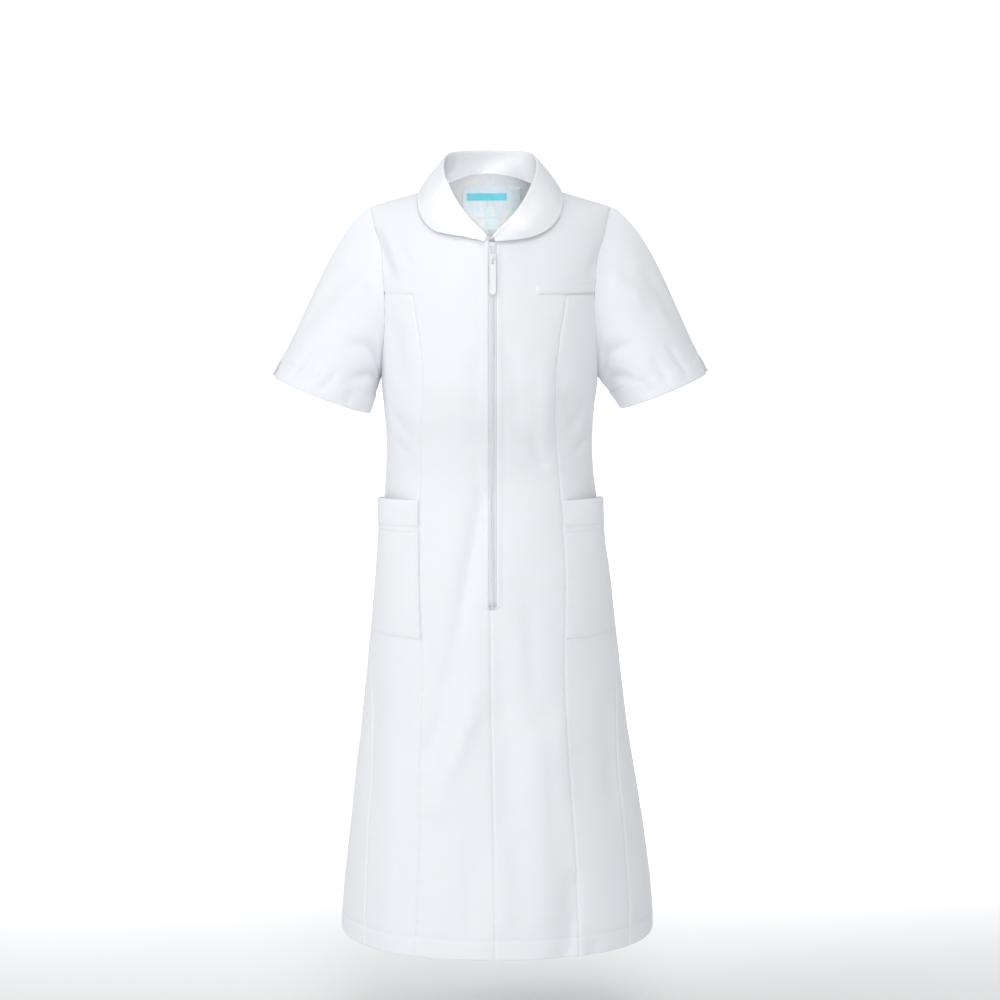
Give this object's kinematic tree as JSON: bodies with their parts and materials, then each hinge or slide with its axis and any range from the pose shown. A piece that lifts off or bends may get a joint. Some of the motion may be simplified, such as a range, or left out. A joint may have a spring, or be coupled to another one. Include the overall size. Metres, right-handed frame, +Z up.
{
  "type": "nurse uniform dress",
  "caption": "Short-sleeved one-piece uniform dress with a round roll collar, front zip, princess seams and open side pockets, filled out as worn.",
  "frame": {"origin": "midway between the two side neck points, where the shoulder seams meet the collar", "axes": "+Z up towards the collar, -Y towards the front of the dress, +X towards the wearer's left"},
  "size_m": [0.5775, 0.3796, 1.038],
  "materials": {
    "cloth": "matte white polyester twill",
    "zip": "white plastic coil zip, satin",
    "label": "smooth woven label"
  },
  "bodies": {
    "dress": {"front_centre_left": "cloth", "front_centre_right": "cloth", "front_side_left": "cloth", "front_side_right": "cloth", "back_left": "cloth", "back_right": "cloth", "sleeve_left": "cloth", "sleeve_right": "cloth", "collar": "cloth", "side_pocket_left": "cloth", "side_pocket_right": "cloth", "chest_pocket_welt": "cloth", "zip_tape": "zip", "zip_slider": "zip", "neck_label": "label", "size_label": "label"},
    "pull": {"zip_pull": "zip"}
  },
  "joints": [
    {"name": "zip_pull_hinge", "type": "hinge", "parent": "dress", "child": "pull", "pos_m": [0.00325, -0.11409, -0.09061], "axis": [-1, 0, 0], "range_deg": [0, 150]}
  ]
}
